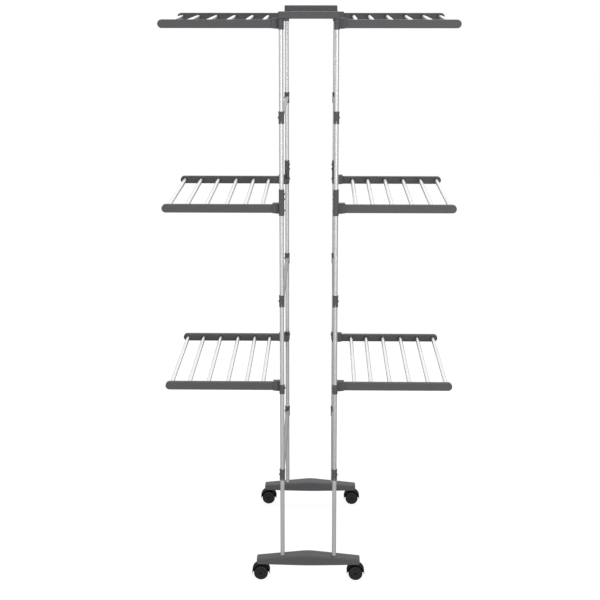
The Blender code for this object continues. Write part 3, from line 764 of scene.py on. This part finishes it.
def startRoofed(name, inset, bottom=None, width=None):
    # a block sliced along its length, whose points are then moved to the roof, the underside and the sides
    half = beamHigh.x - inset
    floor = beamLow.z if bottom is None else bottom
    roof = beamHigh.z - inset
    breadth = sideAt(0) - inset if width is None else width
    piece = startBlock(name, (-half, beamMiddle - breadth, floor), (half, beamMiddle + breadth, roof))
    stations = [half * share for share in beamShape["stations"]]
    stations += [beamShape["ridge"] * share for share in beamShape["ridgeStations"]]
    openMesh(piece)
    for station in stations:
        sliceMesh(0, station)
        sliceMesh(0, -station)
    for station in [half] + stations:
        drawIn = sideAt(station) - inset - breadth if width is None else 0
        for upper in (True, False):
            lift = roofAt(station) - beamHigh.z if upper else 0
            if bottom is None and not upper:
                lift = floorAt(station) - beamLow.z
            for facing in (-1, 1):
                pick(piece, "VERT", lambda point: near(abs(point.co.x), station)
                     and (point.co.z > (floor + roof) / 2) == upper
                     and (point.co.y - beamMiddle) * facing > 0)
                bpy.ops.transform.translate(value=(0, drawIn * facing, lift))
    closeMesh()
    return piece


def makeBeam():
    # the outer form with its top rim and corners rounded, hollowed from below and given ribs, post bosses
    # and castor bosses
    beam = startRoofed("beam", 0)
    level = (beamShape["endTop"] + beamShape["endBottom"]) / 2

    def rimEdge(edge):
        # the border of the roof and the four upright corners
        first, second = (point.co for point in edge.verts)
        atEnd = near(abs(first.x), beamHigh.x) and near(first.x, second.x)
        sameSide = (first.y - beamMiddle) * (second.y - beamMiddle) > 0
        border = atEnd or (sameSide and not near(first.x, second.x))
        return (border and min(first.z, second.z) > level) or (atEnd and sameSide)

    openMesh(beam)
    pick(beam, "EDGE", rimEdge)
    bpy.ops.mesh.bevel(offset=beamShape["edgeRound"], segments=beamShape["edgeSteps"], affect="EDGES",
                       clamp_overlap=True)
    closeMesh()
    cut(beam, startRoofed("hollow", beamShape["wall"], beamLow.z - shared["overrun"]))
    into = beamShape["wall"] / 2       # how far ribs and bosses reach into the wall, and half a rib's width
    join(beam, startRoofed("longRib", into, beamShape["ribBottom"], into))
    for place in (-beamShape["ribPlace"], 0, beamShape["ribPlace"]):
        reach = sideAt(abs(place)) - into
        join(beam, startBlock("rib", (place - into, beamMiddle - reach, beamShape["ribBottom"]),
                              (place + into, beamMiddle + reach, roofAt(abs(place)) - into)))
    for side in (-1, 1):
        post = (side * postPlace.x, beamMiddle)
        stem = (side * swivel.x, beamMiddle)
        join(beam, startRound("postBoss", postBore + beamShape["bossWall"], beamShape["postBossBottom"],
                              roofAt(postPlace.x) - into, post))
        join(beam, startRound("castorBoss", beamShape["castorBossRadius"], beamShape["castorBossBottom"],
                              roofAt(swivel.x) - into, stem))
        cut(beam, startRound("postBore", postBore, beamShape["postFloor"], beamHigh.z + shared["overrun"],
                             post))
        cut(beam, startRound("stemBore", beamShape["stemRadius"] + shared["seatGap"],
                             beamLow.z - shared["overrun"], beamShape["stemTop"] + shared["seatGap"], stem,
                             sides=shared["rodSides"]))
    return finishShape(beam)


beam = makeBeam()
for end in (-1, 1):
    dress(copyPiece(beam, "baseBeam" + endNames[end], 1, end), greyPlastic, "grey_plastic", "frame",
          endNames[end].lower() + "_base_beam")
drop(beam)
print("base beams made")


# Castors

castorShape = {"sides": 72, "hoodRadius": 0.027, "hoodWall": 0.002, "hoodAngle": 50, "web": 0.011,
               "wheelGap": 0.0004, "wheelWidth": 0.012, "wheelRound": 0.0003, "wheelAngle": 40, "lobe": 0.006,
               "lobeSides": 40, "axleRadius": 0.0025, "axleGap": 0.0001, "neckRadius": 0.007,
               "neckTop": 0.0508, "treadRound": 0.0022, "treadSteps": 4, "rimStep": 0.0012,
               "dishInset": 0.0035, "dishDepth": 0.0016, "hubInset": 0.006, "hubRise": 0.0012,
               "capRadius": 0.0036, "capHeight": 0.00045, "capRound": 0.000225, "edgeRound": 0.0006,
               "stemFoot": 0.0462}
axle = Vector(joints["rear_right_castor_roll"]["pos_m"])
wheelInner = castorShape["web"] / 2 + castorShape["wheelGap"]
wheelOuter = wheelInner + castorShape["wheelWidth"]


def makeHood():
    # a half round over both wheels, pocketed from each side so that a wall is left between the wheels
    radius = castorShape["hoodRadius"]
    place = (axle.x, axle.z)
    hood = startRound("hood", radius, axle.y - wheelOuter, axle.y + wheelOuter, place, "Y",
                      castorShape["sides"])
    openMesh(hood)
    bpy.ops.mesh.select_all(action="SELECT")
    bpy.ops.mesh.bisect(plane_co=axle, plane_no=(0, 0, 1), use_fill=True, clear_inner=True)
    closeMesh()
    halfWeb = castorShape["web"] / 2
    pocket = radius - castorShape["hoodWall"]
    for facing in (-1, 1):
        ends = sorted((axle.y + facing * halfWeb, axle.y + facing * (wheelOuter + shared["overrun"])))
        cut(hood, startRound("pocket", pocket, *ends, place, "Y", castorShape["sides"]))
    roundEdges(hood, castorShape["edgeRound"], angle=castorShape["hoodAngle"])
    join(hood, startRound("lobe", castorShape["lobe"], axle.y - halfWeb, axle.y + halfWeb, place, "Y",
                          castorShape["lobeSides"]))
    neckFoot = 2 * axle.z + castorShape["wheelGap"]
    neck = startRound("neck", castorShape["neckRadius"], neckFoot, castorShape["neckTop"],
                      (swivel.x, swivel.y))
    roundEdges(neck, castorShape["edgeRound"], angle=shared["rimAngle"])
    join(hood, neck)
    cut(hood, startRound("axleBore", castorShape["axleRadius"] + shared["seatGap"],
                         axle.y - halfWeb - shared["overrun"], axle.y + halfWeb + shared["overrun"],
                         place, "Y", shared["pinSides"]))
    return finishShape(hood)


def makeWheel():
    # the wheel on the outer side: a rounded tread, a raised rim, a dished face and a raised hub
    inner = axle.y + wheelInner
    outer = axle.y + wheelOuter
    side = outer - castorShape["rimStep"]
    wheel = startRound("wheel", axle.z, inner, side, (axle.x, axle.z), "Y", castorShape["sides"])
    openMesh(wheel)
    pick(wheel, "FACE", lambda face: squareTo(face, 1))
    bpy.ops.mesh.bevel(offset=castorShape["treadRound"], segments=castorShape["treadSteps"], affect="EDGES")
    pick(wheel, "FACE", lambda face: onPlane(face, 1, side))
    bpy.ops.mesh.inset(thickness=castorShape["edgeRound"])
    bpy.ops.mesh.extrude_region_move(TRANSFORM_OT_translate={"value": (0, castorShape["rimStep"], 0)})
    bpy.ops.mesh.inset(thickness=castorShape["dishInset"])
    bpy.ops.mesh.extrude_region_move(TRANSFORM_OT_translate={"value": (0, -castorShape["dishDepth"], 0)})
    bpy.ops.mesh.inset(thickness=castorShape["hubInset"])
    bpy.ops.mesh.extrude_region_move(TRANSFORM_OT_translate={"value": (0, castorShape["hubRise"], 0)})
    closeMesh()
    roundEdges(wheel, castorShape["wheelRound"], angle=castorShape["wheelAngle"])
    cut(wheel, startRound("wheelBore", castorShape["axleRadius"], inner - shared["overrun"],
                          outer + shared["overrun"], (axle.x, axle.z), "Y", shared["pinSides"]))
    return finishShape(wheel)


def makeAxle():
    # a bar with a flat cap at each end, outside the wheels' hubs
    place = (axle.x, axle.z)
    hubFace = wheelOuter - castorShape["dishDepth"] + castorShape["hubRise"]
    bar = startRound("axle", castorShape["axleRadius"] - castorShape["axleGap"], axle.y - hubFace,
                     axle.y + hubFace, place, "Y", shared["pinSides"])
    for facing in (-1, 1):
        ends = sorted((axle.y + facing * hubFace, axle.y + facing * (hubFace + castorShape["capHeight"])))
        cap = startRound("cap", castorShape["capRadius"], *ends, place, "Y", shared["rodSides"])
        roundEdges(cap, castorShape["capRound"], angle=shared["rimAngle"])
        join(bar, cap)
    return finishShape(bar)


hood = makeHood()
wheel = makeWheel()
axleBar = makeAxle()
stem = startRound("stem", beamShape["stemRadius"], castorShape["stemFoot"], beamShape["stemTop"],
                  (swivel.x, swivel.y), sides=shared["rodSides"])
roundEdges(stem, castorShape["edgeRound"], angle=shared["rimAngle"])
finishShape(stem)
farWheel = copyPiece(wheel, "farWheel", 1, -1, (0, 2 * axle.y, 0))
for side, end in corners:
    corner, castor = cornerName(side, end), cornerNode(side, end) + "_castor"
    dress(copyPiece(hood, "castorHood" + corner, side, end), blackPlastic, "black_plastic",
          castor + "_swivel", castor + "_hood")
    dress(copyPiece(stem, "castorStem" + corner, side, end), screwSteel, "bright_steel", castor + "_swivel")
    dress(copyPiece(wheel, "castorOuterWheel" + corner, side, end), wheelTread, "black_plastic",
          castor + "_wheel_pair", castor + "_wheels")
    dress(copyPiece(farWheel, "castorInnerWheel" + corner, side, end), wheelTread, "black_plastic",
          castor + "_wheel_pair")
    dress(copyPiece(axleBar, "castorAxle" + corner, side, end), blackPlastic, "black_plastic",
          castor + "_wheel_pair")
drop(hood, wheel, axleBar, stem, farWheel)
print("castors made")


# Floor, background, lamps and camera

stage = {"floorSize": 60.0, "floorTone": 0.25, "floorGlow": 0.875, "floorGloss": 0.12, "skyLight": 0.5,
         "lampAim": (0, 0, 0.9)}


def seenDirectly(wire, gloss=1.0):
    # 1 where the camera looks at a surface, and the share gloss where metal does by its reflection
    path = wire.node("ShaderNodeLightPath").socket.node
    direct, glossy, through = (Wire(wire.tree, path.outputs["Is " + kind + " Ray"])
                               for kind in ("Camera", "Glossy", "Transmission"))
    return wire.sum("MINIMUM", direct + glossy * gloss + through, 1.0)


bpy.ops.object.select_all(action="DESELECT")
bpy.ops.mesh.primitive_plane_add(size=stage["floorSize"])
floor = bpy.context.object
floor.name = "floor"
floorMaterial = bpy.data.materials.new("pale floor")
floorMaterial.use_nodes = True
floorTree = floorMaterial.node_tree
floorTree.nodes.clear()
wire = Wire(floorTree)
tone = stage["floorTone"]
diffuse = wire.node("ShaderNodeBsdfDiffuse", values={"Color": (tone, tone, tone, 1)})
floorStrength = seenDirectly(wire, stage["floorGloss"]) * stage["floorGlow"]
glow = wire.node("ShaderNodeEmission", values={"Strength": floorStrength})
both = wire.node("ShaderNodeAddShader", values={0: diffuse, 1: glow})
floorOutput = floorTree.nodes.new("ShaderNodeOutputMaterial")
floorTree.links.new(both.socket, floorOutput.inputs["Surface"])
floor.data.materials.append(floorMaterial)

world = bpy.data.worlds.new("studio")
scene.world = world
world.use_nodes = True
background = world.node_tree.nodes["Background"]
wire = Wire(world.node_tree)
skyStrength = seenDirectly(wire) * (1 - stage["skyLight"]) + stage["skyLight"]
world.node_tree.links.new(skyStrength.socket, background.inputs["Strength"])
background.inputs["Color"].default_value = (1, 1, 1, 1)

lamps = {
    "keyLamp": {"place": (1.3, -4.0, 1.15), "size": 2.0, "power": 64},
    "fillLamp": {"place": (-2.6, -3.2, 1.1), "size": 2.6, "power": 38},
    "backLamp": {"place": (0.8, 2.4, 4.2), "size": 2.4, "power": 52},
}
aim = Vector(stage["lampAim"])
for name, lamp in lamps.items():
    data = bpy.data.lights.new(name, "AREA")
    data.energy = lamp["power"]
    data.size = lamp["size"]
    light = bpy.data.objects.new(name, data)
    light.location = lamp["place"]
    light.rotation_euler = (aim - Vector(lamp["place"])).to_track_quat("-Z", "Y").to_euler()
    light.visible_camera = False
    scene.collection.objects.link(light)

view = {"place": (0.0404, -4.15, 1.8345), "tilt": 12.793, "turn": 0.978, "sensor": 36, "lens": 81.198,
        "shiftUp": -0.045}
camera = bpy.data.objects.new("camera", bpy.data.cameras.new("camera"))
scene.collection.objects.link(camera)
camera.location = view["place"]
camera.rotation_euler = (math.radians(90 - view["tilt"]), 0, math.radians(view["turn"]))
camera.data.sensor_width = view["sensor"]
camera.data.lens = view["lens"]
camera.data.shift_y = view["shiftUp"]
scene.camera = camera
scene.view_settings.view_transform = "Standard"
print("stage and camera set")

bpy.ops.object.select_all(action="DESELECT")
